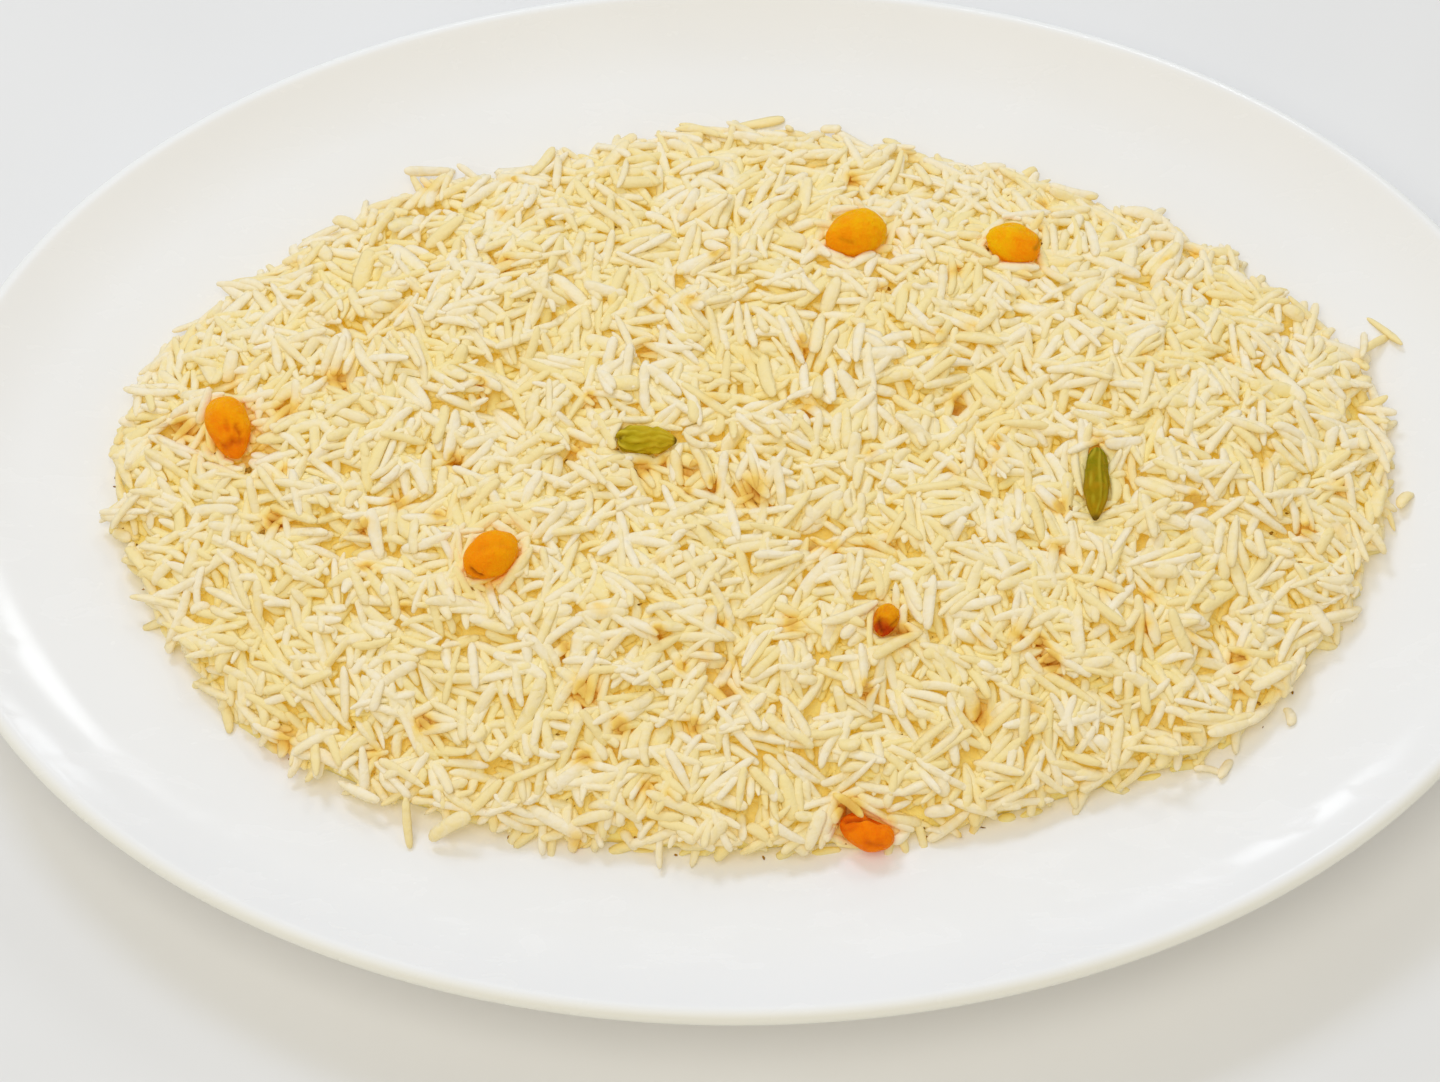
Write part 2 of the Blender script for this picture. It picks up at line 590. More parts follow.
# Place, bearing of the long axis in degrees, full size, middle above the heap's mean surface,
# taper, colours (face, blush, fold), the side that blushes (degrees from the long axis) and folds.
# A fold runs over the skin from one end to the other: place along the raisin from -1 to 1, degrees
# round it (90 is the top, 180 the near side), then its depth and width in mm and how dark it is.
RAISINS = (
    dict(at=(22.4, 50.3), bearing=22, size=(12, 9.6, 7.8), above=1.9, taper=0.14, blush_side=-150,
         colours=((0.92, 0.36, 0.001), (0.92, 0.22, 0.001), (0.62, 0.20, 0.001)),
         folds=((-0.25, 25, 0.1, 40, 0.8, 1.0, 0.5), (-0.65, 120, -0.35, 140, 0.3, 0.7, 0.6))),
    dict(at=(53, 47.5), bearing=-22, size=(10.9, 8.2, 6.8), above=1.7, taper=0.06, blush_side=-30,
         colours=((0.90, 0.38, 0.001), (0.97, 0.23, 0.001), (0.36, 0.14, 0.001)),
         folds=((0.86, 20, 0.86, 110, 0.2, 0.6, 0.8), (-0.5, 50, 0.2, 70, 0.35, 0.9, 0.2))),
    dict(at=(-97, 8.1), bearing=-74, size=(13.6, 8.2, 7.2), above=2.0, taper=-0.26, blush_side=-15,
         colours=((0.96, 0.28, 0.001), (0.90, 0.155, 0.001), (0.55, 0.06, 0.001)),
         folds=((0.68, 50, 0.70, 95, 0.5, 0.8, 0.9), (0.70, 95, 0.68, 150, 0.5, 0.8, 0.9),
                (0.3, 70, 0.5, 55, 0.5, 0.6, 0.8),
                (0.1, 95, 0.3, 100, 0.3, 0.6, 0.4))),
    dict(at=(-46.8, -23), bearing=36, size=(11.2, 8.7, 7.4), above=1.9, taper=0.03, blush_side=-35,
         colours=((0.93, 0.20, 0.001), (0.96, 0.27, 0.001), (0.28, 0.04, 0.001)),
         folds=((-0.9, 120, -0.75, 175, 0.5, 0.6, 0.9), (-0.3, 80, 0.4, 105, 0.25, 1.0, 0.15))),
    dict(at=(22, -74.4), bearing=-24, size=(10.4, 7.2, 6.4), above=-0.3, taper=0.06, blush_side=140,
         colours=((0.96, 0.15, 0.001), (0.72, 0.07, 0.001), (0.40, 0.03, 0.001)),
         folds=((0.08, 10, 0.12, 45, 2.6, 1.5, 0.5), (-0.85, 110, -0.4, 85, 0.8, 0.5, 0.9),
                (-0.4, 85, 0.05, 60, 0.8, 0.5, 0.9),
                (0.3, 150, 0.7, 150, 0.3, 0.7, 0.5))),
    dict(at=(25.9, -36.5), bearing=68, size=(6.5, 4.6, 4.4), above=1.3, taper=0.22, blush_side=180,
         colours=((0.84, 0.26, 0.002), (0.42, 0.022, 0.001), (0.16, 0.01, 0.001)),
         folds=((-0.9, 120, -0.5, 60, 0.5, 0.7, 0.8), (-0.3, 150, 0.2, 165, 0.4, 0.5, 0.5))),
)


def raisin_material(number, colours):
    """Amber skin: the face colour runs into the blush on one side and darkens along the folds."""
    material, tree, shader = new_material(f"raisin_skin_{number}", {
        "Specular IOR Level": 0.02,
        "Subsurface Weight": 0.5,
        "Subsurface Radius": (3.0, 1.3, 0.2),
        "Subsurface Scale": 1.0 * MM,
    })
    face, blush, fold = colours
    patch, _ = blotches(tree, 300.0, 0.3, 0.7)
    uneven = calculate(tree, "MULTIPLY_ADD", patch, 0.9, -0.45)
    share = calculate(tree, "ADD", point_values(tree, "blush"), uneven, clamp=True)
    skin = mix_colours(tree, share, face, blush)
    skin = mix_colours(tree, point_values(tree, "folded"), skin, fold)
    tree.links.new(skin, shader.inputs["Base Color"])
    fine, pores = blotches(tree, 1300.0, 0.3, 0.7)
    rough = calculate(tree, "MULTIPLY_ADD", fine, 0.14, 0.42)
    tree.links.new(rough, shader.inputs["Roughness"])
    add_bump(tree, shader, pores, 0.4 * MM)
    return material


def round_body(rings, sides):
    """A unit ball with its poles on the X axis, in the order that ring_triangles joins."""
    lean = np.linspace(0, math.pi, rings + 2)[1:-1, None]
    turn = np.linspace(0, 2 * math.pi, sides, endpoint=False)
    x = np.broadcast_to(-np.cos(lean), (rings, sides))
    skin = np.stack([x, np.sin(lean) * np.cos(turn), np.sin(lean) * np.sin(turn)], axis=-1)
    return np.vstack([[(-1, 0, 0)], skin.reshape(-1, 3), [(1, 0, 0)]])


def on_ball(along, around):
    """A place on the unit ball, from its place along the X axis and the angle round it."""
    belly = math.sqrt(1 - along * along)
    turn = math.radians(around)
    return np.array((along, belly * math.cos(turn), belly * math.sin(turn)))


def distance_to_line(points, start, end):
    """Distance of each point from the straight line between two places."""
    run = end - start
    share = np.clip((points - start) @ run / (run @ run), 0, 1)
    return np.linalg.norm(points - start - share[:, None] * run, axis=1)


def set_down(points, at, bearing, middle):
    """Turns points about the upright axis and moves them to their place on the dish."""
    turn = math.radians(bearing)
    spin = np.array([
        [math.cos(turn), math.sin(turn), 0],
        [-math.sin(turn), math.cos(turn), 0],
        [0, 0, 1],
    ])
    return points @ spin + np.array((*at, middle))


def add_raisin(number, at, bearing, size, above, taper, blush_side, colours, folds):
    ball = round_body(RAISIN_RINGS, RAISIN_SIDES)
    half = np.array(size) / 2
    full = 1 + taper * ball[:, 0]
    shape = ball * half * np.stack([np.ones_like(full), full, full], axis=-1)
    dented = np.zeros(len(ball))
    marked = np.zeros(len(ball))
    for along_a, around_a, along_b, around_b, depth, width, dark in folds:
        start = on_ball(along_a, around_a)
        end = on_ball(along_b, around_b)
        away = distance_to_line(ball, start, end) * half[1]
        groove = np.exp(-((away / width) ** 2))
        dented += depth * groove
        marked = np.maximum(marked, dark * groove**1.3)
    swelling = lumps(shape, SWELLING_SIZE, number + 10)
    wrinkle = lumps(shape * WRINKLE_STRETCH, WRINKLE_SIZE, number + 30)
    at_ends = 0.4 + np.abs(ball[:, 0])
    dented += SWELLING_DEPTH * swelling + WRINKLE_DEPTH * np.abs(wrinkle) * at_ends
    middle = float(heap_top(*at)) + above
    points = set_down(shape - ball * dented[:, None], at, bearing, middle)
    faces = ring_triangles(RAISIN_RINGS, RAISIN_SIDES)
    raisin = make_piece(f"golden_raisin_{number}", points, faces, [raisin_material(number, colours)])
    toward = (math.cos(math.radians(blush_side)), math.sin(math.radians(blush_side)), 0)
    blushed = np.clip(BLUSH_MIDDLE + BLUSH_RUN * ball @ toward, 0, 1)
    add_point_values(raisin, "blush", blushed)
    add_point_values(raisin, "folded", marked)
    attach(raisin, "root")
    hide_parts(f"raisin_{number}")
    return raisin


raisins = [add_raisin(k + 1, **raisin) for k, raisin in enumerate(RAISINS)]


# ----------------------------------------
# The cardamom pods: two green pods, each three thin papery valves round their seeds, drawn out to
# a dry brown tip. One has split and ruffled in the pot and gone gold, the other is still smooth.
POD_RINGS = 110
POD_SIDES = 96
POD_TIP = 0.16  # share of its half length that is drawn out
POD_TIP_SLIMNESS = 0.4
POD_FULLNESS = 0.3  # how nearly its sides are straight
POD_VALVES = 3
VALVE_HEIGHT = 0.05
POD_RIBS = 4.5  # half their number
RIB_WAVER = 1.6
LEAST_CRUMPLE = 0.04
TORN_FLARE = 0.5  # how far torn husk spreads
TORN_DEPTH = 0.2
RIDGE_FROM = 0.6  # how high on a rib its paler colour begins
VALLEY_FROM = 0.35  # and below which the husk between ribs is dry
DRY_TIP_FROM = 0.9
DRY_TIP_GAIN = 14
TORN_DRYNESS = 0.5
# Place, bearing, full size, middle above the heap's mean surface, how far the blunt end is torn,
# how deep the ribs are, and colours (blunt end, pointed end, rib).
PODS = (
    dict(at=(-17.7, 2.6), bearing=-3, size=(10.9, 5.5, 5.2), above=1.3, torn=1.0, ribbed=0.14,
         colours=((0.38, 0.26, 0.004), (0.48, 0.29, 0.006), (0.62, 0.45, 0.02))),
    dict(at=(66.1, -8.1), bearing=-94, size=(15.6, 4.7, 4.7), above=1.6, torn=0.0, ribbed=0.05,
         colours=((0.15, 0.125, 0.001), (0.32, 0.15, 0.002), (0.36, 0.26, 0.008))),
)


def pod_husk_material(number, colours):
    """Papery husk, shaded from one end to the other, with paler ribs and dry, dark ends."""
    plain = {"Roughness": 0.6, "Specular IOR Level": 0.02}
    material, tree, shader = new_material(f"cardamom_husk_{number}", plain)
    blunt_end, pointed_end, rib = colours
    stained, fibrous = blotches(tree, 420.0, 0.35, 0.7)
    uneven = calculate(tree, "MULTIPLY_ADD", stained, 0.6, -0.3)
    share = calculate(tree, "ADD", point_values(tree, "along"), uneven, clamp=True)
    husk = mix_colours(tree, share, blunt_end, pointed_end)
    husk = mix_colours(tree, point_values(tree, "ridge"), husk, rib)
    husk = mix_colours(tree, point_values(tree, "dry"), husk, (0.09, 0.045, 0.003))
    tree.links.new(husk, shader.inputs["Base Color"])
    add_bump(tree, shader, fibrous, 0.4 * MM)
    return material


def add_pod(number, at, bearing, size, above, torn, ribbed, colours):
    ball = round_body(POD_RINGS, POD_SIDES)
    around = np.arctan2(ball[:, 2], ball[:, 1])
    belly = np.hypot(ball[:, 1], ball[:, 2])
    x = ball[:, 0]
    waver = lumps(np.stack([x * 2.2, np.cos(around), np.sin(around)], axis=-1), 0.9, number + 40)
    ribs = np.abs(np.cos(POD_RIBS * around + 0.5 * np.sin(3 * x) + RIB_WAVER * waver))
    valves = VALVE_HEIGHT * np.cos(POD_VALVES * around + 0.6)
    crumple = lumps(ball * (2.6, 3, 3), 1.0, number + 60)
    girth = 1 + valves - ribbed * (1 - ribs) + (LEAST_CRUMPLE + ribbed) * crumple
    girth = 1 + (girth - 1) * np.minimum(1, 2 * belly)
    pointed, blunt = np.maximum(x, 0), np.maximum(-x, 0)
    girth = girth * (1 - POD_TIP_SLIMNESS * pointed**4 + TORN_FLARE * torn * blunt**3)
    girth = girth * np.maximum(belly, 0.1) ** -POD_FULLNESS
    along = np.where(x > 0, x * (1 - POD_TIP) + POD_TIP * pointed**6, x)
    ragged = lumps(np.stack([np.cos(around) * 2, x, np.sin(around) * 2], axis=-1), 0.6, number + 70)
    along = along + torn * TORN_DEPTH * ragged * np.clip(-x * 2 - 0.9, 0, 1)
    shape = np.stack([along, ball[:, 1] * girth, ball[:, 2] * girth], axis=-1) * np.array(size) / 2
    middle = float(heap_top(*at)) + above
    points = set_down(shape, at, bearing, middle)
    faces = ring_triangles(POD_RINGS, POD_SIDES)
    pod = make_piece(f"cardamom_pod_{number}", points, faces, [pod_husk_material(number, colours)])
    ridge = np.clip((ribs - RIDGE_FROM) * 2, 0, 1) * np.clip(0.4 + crumple + waver, 0, 1)
    tip = np.clip((x - DRY_TIP_FROM) * DRY_TIP_GAIN, 0, 1)
    torn_edge = TORN_DRYNESS * torn * np.clip(-x * 4 - 2.8, 0, 1) * np.clip(4 * ragged + 0.1, 0, 1)
    valley = ribbed * 4 * np.clip(VALLEY_FROM - ribs, 0, 1)
    add_point_values(pod, "along", (x + 1) / 2)
    add_point_values(pod, "ridge", ridge)
    add_point_values(pod, "dry", np.clip(tip + torn_edge + valley, 0, 1))
    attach(pod, "root")
    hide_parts(f"cardamom_{number}")
    return pod


pods = [add_pod(k + 1, **pod) for k, pod in enumerate(PODS)]


# ----------------------------------------
# The loose grains: boiled long-grain rice, tipped out and left as it fell. Each grain is laid on
# the ones before it: it comes down until it touches on both sides of its middle, then sinks in, as
# it is soft. Grains stay clear of the raisins and pods and lean on them. Some have burst flat.
GRAIN_LENGTH = 9.2
LENGTH_SPREAD = 0.18
LENGTH_LIMITS = (0.6, 1.3)
GRAIN_WIDTH = 1.82
WIDTH_SPREAD = 0.13
WIDTH_LIMITS = (0.74, 1.3)
GRAIN_FLATNESS = 0.66
GRAIN_SEED = 20611
GRAIN_COUNT = 8300
GRAIN_TRIES = 24000
BROKEN_SHARE = 0.28
BROKEN_LENGTH = 0.6
BURST_SHARE = 0.1
BURST_WIDTH = 1.4
FLAT_FROM = 1.1  # times the usual width, past which a grain gets no thicker
CHOICES = 5  # places looked at for each grain, of which it takes the lowest
JITTER = (-1, 1)  # mm from the middle of a cell
LUCK = (0, 1.0)  # mm by which a place may seem lower than it is
CELL = 0.25  # mm between the heights that are kept of the heap as it grows
SINK = (0.3, 0.9)  # how far a soft grain presses into those below
MOST_SUNK = 1.7
FIRST_CLEARANCE = 0.2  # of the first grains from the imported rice, which is uneven
STEEPEST = 0.5
NOD = 0.07  # chance tilt that soft grains keep
ABOVE_MEAN = 1.0  # mm from the heap's mean surface up to the wanted one
BELOW_WANTED = (0.2, 0.9)  # how far below it a grain's middle ends up
HOLLOW = 1.2  # depth below the wanted surface that still takes a grain
LOW_SHARE = 0.5  # of the heap, its lower part, where grains are laid
LOWEST_SHARE = 0.06  # and where short grains are
LOOK_AGAIN = 100  # tries, until the heap is looked over for its low places once more
LEAST_ROOM = -1.3
SHORT_GRAIN = 6.5  # mm, up to which a grain slips into the deepest hollows
SLIP = 1.2  # how much deeper a short grain may sink
GRAIN_INSET = 3.0  # mm from the outline of the heap to the middle of the outermost grains
LEAST_HEADROOM = -0.9  # grains press against the soft raisins and pods
SAME_WAY = 0.55  # share of the grains that lie nearly as their neighbours do
WAY_SPREAD = 0.3  # radians
# The pieces that the grains are made in, from the lowest to the topmost: rings and sides of a grain.
HELPINGS = ((4, 6), (4, 6), (4, 6), (7, 7), (7, 7), (7, 7), (7, 7), (7, 7))
HUMP_HEIGHT = 0.7  # unevenness of the finished heap
HUMP_SIZE = 11
DRIFT_SIZE = 16
PATCH_SIZE = 30
WAVES = 14
WAVE_SIZES = (0.7, 1.6)
WAVES_ADD_UP_TO = 3
# Single grains at and past the edge of the heap: place and bearing in degrees.
STRAYS = (
    (-62.0, -71.5, 95), (-70.9, -65.5, 150), (85.3, -61.4, 170), (88.1, -61.1, 60),
    (100.8, -50.2, 100), (122.7, 30.1, 40), (124.8, 33.2, 130), (120.1, 28.8, 80),
    (-60.9, 72.3, 20), (10.4, 79.8, 75), (18.4, 81.4, 160), (4.5, 84.5, 10),
    (125.7, -4.3, 55), (-54.3, -72.9, 20), (79.9, -60.0, 15), (74.4, -60.8, 165),
)
# Grains that lie partly over a raisin or a pod: place and bearing.
COVERING = (
    (48.0, 43.0, 20), (45.5, 45.4, -35), (-8.9, 0.7, -28), (18.6, -70.4, -38), (28.0, -41.2, 30),
    (19.6, -35.2, 25),
)
grid_x = np.arange(-136, 140, CELL)
grid_y = np.arange(-94, 96, CELL)
plan_x, plan_y = np.meshgrid(grid_x, grid_y)
chance = np.random.default_rng(GRAIN_SEED)
# Where juice has stained the rice: place, reach in mm and strength.
STAINS = (
    (-59.1, -54.0, 2.1, 1.0), (-23.0, -55.7, 1.8, 1.0), (42.9, -53.2, 1.6, 1.0),
    (56.0, -44.2, 2.1, 1.0), (40.8, 11.5, 1.6, 1.0), (-54.0, -0.6, 1.6, 1.0),
    (91.5, -41.7, 1.9, 1.0), (18.6, -71.0, 2.9, 1.0), (28.8, -38.6, 1.9, 1.0),
    (1.9, -9.1, 2.9, 0.9), (-9.8, -4.0, 1.8, 1.0), (-5.5, -7.2, 1.4, 1.0),
    (-88.0, -12.1, 2.1, 1.0), (-18.5, -2.6, 1.6, 1.0), (-31.0, 2.2, 1.4, 0.9),
    (-106.7, 10.4, 2.6, 0.9), (-86.5, 11.8, 2.7, 0.8), (-77.1, 18.3, 2.4, 0.8),
    (-64.6, -10.0, 1.8, 0.9), (-56.5, -13.1, 1.6, 1.0), (-70.5, -15.0, 1.1, 1.0),
    (-70.4, -23.1, 1.4, 1.0), (9.0, -36.0, 2.2, 0.9), (-3.4, -49.1, 2.1, 0.9),
    (22.3, -49.6, 1.3, 1.0), (54.3, -40.4, 1.4, 1.0), (84.5, -10.4, 1.2, 1.0),
    (59.2, -12.3, 1.4, 1.0), (-29.4, -49.4, 2.7, 0.8), (-84.7, -54.1, 2.4, 0.7),
    (-60.6, 67.3, 2.1, 0.6), (-97.0, 8.1, 7.0, 0.25), (-46.8, -23.0, 6.0, 0.25),
)
SMALL_STAINS = 110
# Limits of the small ones' places across and from front to back, reach and strength.
SMALL_STAIN_LIMITS = ((-118, 120), (-80, 70), (0.7, 1.7), (0.3, 1.0))
STAIN_PIT = 1.0  # mm that a full stain lies lower than the rice round it


def soaked(stains, before):
    """How much juice has soaked in at each cell, from 0 to 1, with these stains and those before."""
    total = before
    for x, y, reach, strength in stains:
        away = np.hypot(plan_x - x, plan_y - y)
        total = np.maximum(total, strength * np.exp(-((away / reach) ** 3)))
    return total


def first_ground():
    """Height of what the first grains fall on: the platter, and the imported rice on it."""
    dish = platter_top(plan_x, plan_y)
    packed = heap_top(plan_x, plan_y) - CORE_DEPTH + FIRST_CLEARANCE
    return np.where(inside_heap(plan_x, plan_y) > CORE_INSET, np.maximum(dish, packed), dish)


def humps(typical):
    """Soft humps and hollows from about -1 to 1 all over the heap: waves that cross each other."""
    total = 0
    for _ in range(WAVES):
        way, start = chance.uniform(0, 2 * math.pi, 2)
        size = typical * chance.uniform(*WAVE_SIZES)
        run = (plan_x * math.cos(way) + plan_y * math.sin(way)) / size
        total = total + np.sin(2 * math.pi * run + start)
    return total / WAVES_ADD_UP_TO


def skin_heights(pieces, from_below):
    """Height of the pieces' lowest or highest skin in each cell, endless where there is none."""
    skin = np.full(plan_x.shape, np.inf if from_below else -np.inf)
    for piece in pieces:
        tree = BVHTree.FromObject(piece, bpy.context.evaluated_depsgraph_get())
        corners = np.array([c[:] for c in piece.bound_box]) / MM
        low, high = corners.min(0), corners.max(0)
        start_z = low[2] - 1 if from_below else high[2] + 1
        way = Vector((0, 0, 1 if from_below else -1))
        for row in np.flatnonzero((grid_y > low[1]) & (grid_y < high[1])):
            for column in np.flatnonzero((grid_x > low[0]) & (grid_x < high[0])):
                start = Vector((grid_x[column], grid_y[row], start_z)) * MM
                hit = tree.ray_cast(start, way)[0]
                if hit is not None:
                    skin[row, column] = hit.z / MM
    return skin


ground = first_ground()
roof = skin_heights(raisins + pods, from_below=True)
small_stains = np.column_stack([chance.uniform(*ends, SMALL_STAINS) for ends in SMALL_STAIN_LIMITS])
larger_stains = soaked(STAINS, np.zeros(plan_x.shape))
juice = soaked(small_stains, larger_stains)
wanted = heap_top(plan_x, plan_y) + ABOVE_MEAN + HUMP_HEIGHT * humps(HUMP_SIZE)
wanted -= STAIN_PIT * larger_stains
drift = math.pi * humps(DRIFT_SIZE)
inside_plan = inside_heap(plan_x, plan_y)
# Where a grain feels for those below it: shares of its length and of its half width.
ALONG = np.linspace(-0.46, 0.46, 9)
ACROSS = np.array([-0.6, 0, 0.6])


def girth_at(share):
    """Thickness of a plain, blunt grain, from 0 to 1, at a share of its length from its middle."""
    return (1 - np.abs(2 * share) ** 4) ** 0.5


def cells(x, y):
    column = np.asarray((x - grid_x[0]) / CELL + 0.5).astype(int)
    row = np.asarray((y - grid_y[0]) / CELL + 0.5).astype(int)
    return np.clip(row, 0, len(grid_y) - 1), np.clip(column, 0, len(grid_x) - 1)


def come_to_rest(x, y, bearing, length, width):
    """Middle height and slope of grains let down at some places, and their room under the roof."""
    run = ALONG * length[:, None]
    side = ACROSS * width[:, None] / 2
    cos, sin = np.cos(bearing)[:, None, None], np.sin(bearing)[:, None, None]
    at_x = x[:, None, None] + run[:, :, None] * cos - side[:, None, :] * sin
    at_y = y[:, None, None] + run[:, :, None] * sin + side[:, None, :] * cos
    row, column = cells(at_x, at_y)
    thick = girth_at(ALONG)[None, :, None] * np.sqrt(1 - ACROSS**2)
    belly = GRAIN_FLATNESS * width[:, None, None] / 2 * thick
    need = (ground[row, column] + belly).max(axis=2)
    middle = len(ALONG) // 2
    left, right = need[:, :middle], need[:, middle + 1:]
    run_left, run_right = run[:, :middle], run[:, middle + 1:]
    span = run_right[:, None, :] - run_left[:, :, None]
    carried = left[:, :, None] * run_right[:, None, :] - right[:, None, :] * run_left[:, :, None]
    level = (carried / span).reshape(len(x), -1)
    tilt = ((right[:, None, :] - left[:, :, None]) / span).reshape(len(x), -1)
    every = np.arange(len(x))
    pick = level.argmax(axis=1)
    height = np.maximum(level[every, pick], need[:, middle])
    least = ((right - height[:, None]) / run_right).max(axis=1)
    most = ((left - height[:, None]) / run_left).min(axis=1)
    slope = np.minimum(np.maximum(tilt[every, pick], least), np.maximum(least, most))
    top = height[:, None, None] + slope[:, None, None] * run[:, :, None] + belly
    headroom = (roof[row, column] - top).min(axis=(1, 2))
    return height, slope, headroom


def raise_ground(x, y, height, bearing, slope, length, width):
    """Adds one grain's upper side to the kept heights."""
    reach = length / 2 + 0.5
    row_a, column_a = cells(np.array(x - reach), np.array(y - reach))
    row_b, column_b = cells(np.array(x + reach), np.array(y + reach))
    patch = (slice(row_a, row_b + 1), slice(column_a, column_b + 1))
    dx, dy = plan_x[patch] - x, plan_y[patch] - y
    run = dx * math.cos(bearing) + dy * math.sin(bearing)
    side = dy * math.cos(bearing) - dx * math.sin(bearing)
    half = width / 2 * girth_at(np.clip(run / length, -0.5, 0.5))
    within = (np.abs(run) < length / 2) & (np.abs(side) < half)
    dome = GRAIN_FLATNESS * np.sqrt(np.maximum(half**2 - side**2, 0))
    skin = np.where(within, height + slope * run + dome, -np.inf)
    ground[patch] = np.maximum(ground[patch], skin)


def grain_sizes(count):
    """Lengths and widths. Some grains have broken in the pot, and some have burst and spread."""
    length = GRAIN_LENGTH * np.clip(chance.normal(1, LENGTH_SPREAD, count), *LENGTH_LIMITS)
    length = np.where(chance.random(count) < BROKEN_SHARE, BROKEN_LENGTH * length, length)
    width = GRAIN_WIDTH * np.clip(chance.normal(1, WIDTH_SPREAD, count), *WIDTH_LIMITS)
    return length, np.where(chance.random(count) < BURST_SHARE, BURST_WIDTH * width, width)


def set_grains(places):
    """Lays single grains at given places and bearings in degrees, and gives their rows."""
    rows = []
    for x, y, degrees in places:
        bearing = math.radians(degrees)
        (length,), (width,) = grain_sizes(1)
        one = [np.array([value], float) for value in (x, y, bearing, length, width)]
        height, slope, _ = come_to_rest(*one)
        rows.append((x, y, height[0] - SINK[0], bearing, slope[0], length, width))
        raise_ground(*rows[-1])
    return rows


def open_cells(share):
    """The lowest cells of the heap so far, up to a share of it."""
    inside = inside_plan > GRAIN_INSET
    room = wanted - ground
    return np.flatnonzero(inside & (room > max(HOLLOW, np.quantile(room[inside], 1 - share))))


def lay_grains():
    """Rows of x, y, middle height, bearing, slope, length and width, in the order they fell."""
    laid = []
    lengths, widths = grain_sizes(GRAIN_TRIES)
    every_x, every_y = plan_x.ravel(), plan_y.ravel()
    every_wanted, every_drift = wanted.ravel(), drift.ravel()
    for turn, (length, width) in enumerate(zip(lengths, widths)):
        if turn % LOOK_AGAIN == 0:
            low, lowest = open_cells(LOW_SHARE), open_cells(LOWEST_SHARE)
        if len(laid) == GRAIN_COUNT or not len(lowest):
            break
        slips = length < SHORT_GRAIN
        spot = chance.choice(lowest if slips else low, CHOICES)
        x = every_x[spot] + chance.uniform(*JITTER, CHOICES)
        y = every_y[spot] + chance.uniform(*JITTER, CHOICES)
        bearing = chance.uniform(0, 2 * math.pi, CHOICES)
        if chance.random() < SAME_WAY:
            bearing = every_drift[spot] + chance.normal(0, WAY_SPREAD, CHOICES)
        same_length, same_width = np.full(CHOICES, length), np.full(CHOICES, width)
        height, slope, headroom = come_to_rest(x, y, bearing, same_length, same_width)
        room = every_wanted[spot] - height
        score = room - np.abs(slope) + chance.uniform(*LUCK, CHOICES)
        barred = (headroom < LEAST_HEADROOM) | (np.abs(slope) > STEEPEST)
        score[barred | (room < LEAST_ROOM - SLIP * slips)] = -np.inf
        best = int(score.argmax())
        if np.isinf(score[best]):
            continue
        surface = every_wanted[spot[best]] - chance.uniform(*BELOW_WANTED)
        sunk = min(height[best] - chance.uniform(*SINK), surface)
        sunk = max(sunk, height[best] - MOST_SUNK - SLIP * slips)
        nod = slope[best] + chance.normal(0, NOD)
        grain = (x[best], y[best], sunk, bearing[best], nod, length, width)
        raise_ground(*grain)
        laid.append(grain)
    laid += set_grains(STRAYS)
    ground[:] = np.maximum(ground, skin_heights(raisins + pods, from_below=False))
    laid += set_grains(COVERING)
    return np.array(laid)


BOXINESS = 0.8  # below 1, a round section has a flatter back
BLUNTNESS = (2.0, 5.5)  # how long a grain stays thick towards an end
END_FALL = (0.40, 0.54)  # the lower, the more squarely it ends
TAPER = 0.1
UNEVENNESS = 0.05
BEND = 0.4  # mm
SAG = (-0.1, 0.15)  # mm, its mean and its spread
ROLL = 0.22  # radians


def boxy(wave):
    """A wave from -1 to 1 that is drawn out towards both."""
    return np.sign(wave) * np.abs(wave) ** BOXINESS


